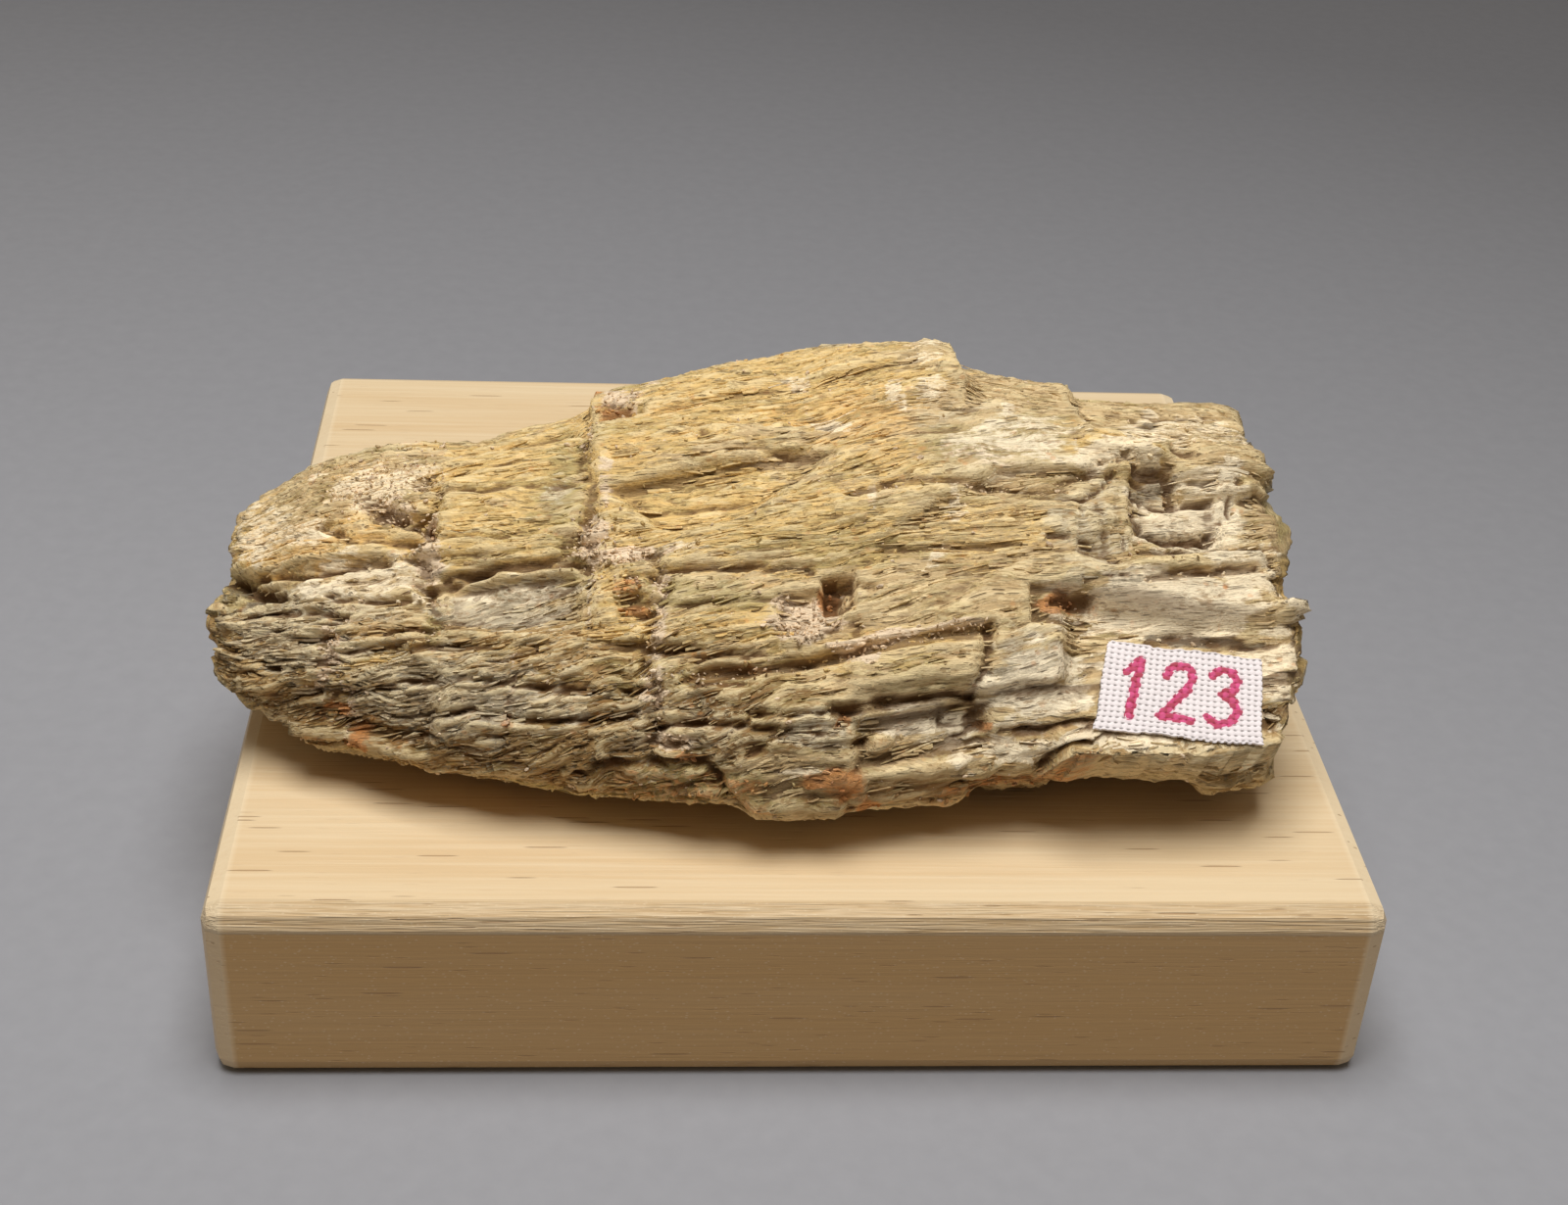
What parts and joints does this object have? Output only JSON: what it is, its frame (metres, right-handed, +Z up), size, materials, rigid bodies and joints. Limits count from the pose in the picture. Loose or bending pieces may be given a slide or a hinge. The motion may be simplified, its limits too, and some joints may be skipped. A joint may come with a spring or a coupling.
{
  "type": "bismuthinite specimen",
  "caption": "Long fibrous bismuthinite specimen altered to yellow ochre, with a cloth number label, resting on a square pale wooden block.",
  "frame": {"origin": "centre of the wooden block's underside", "axes": "+X along the stone to the viewer's right, +Y away from the viewer, +Z up"},
  "size_m": [0.1232, 0.1156, 0.058],
  "materials": {
    "ochre_stone": "rough fibrous mineral, altered to yellow and olive ochre, with clay in its cracks",
    "label_cloth": "white plain-woven cotton with plain digits in crimson ink",
    "pale_wood": "planed pale beech with short brown flecks, thinly varnished"
  },
  "bodies": {
    "root": {"specimen": "ochre_stone", "number_label": "label_cloth", "wooden_block": "pale_wood"}
  },
  "joints": []
}
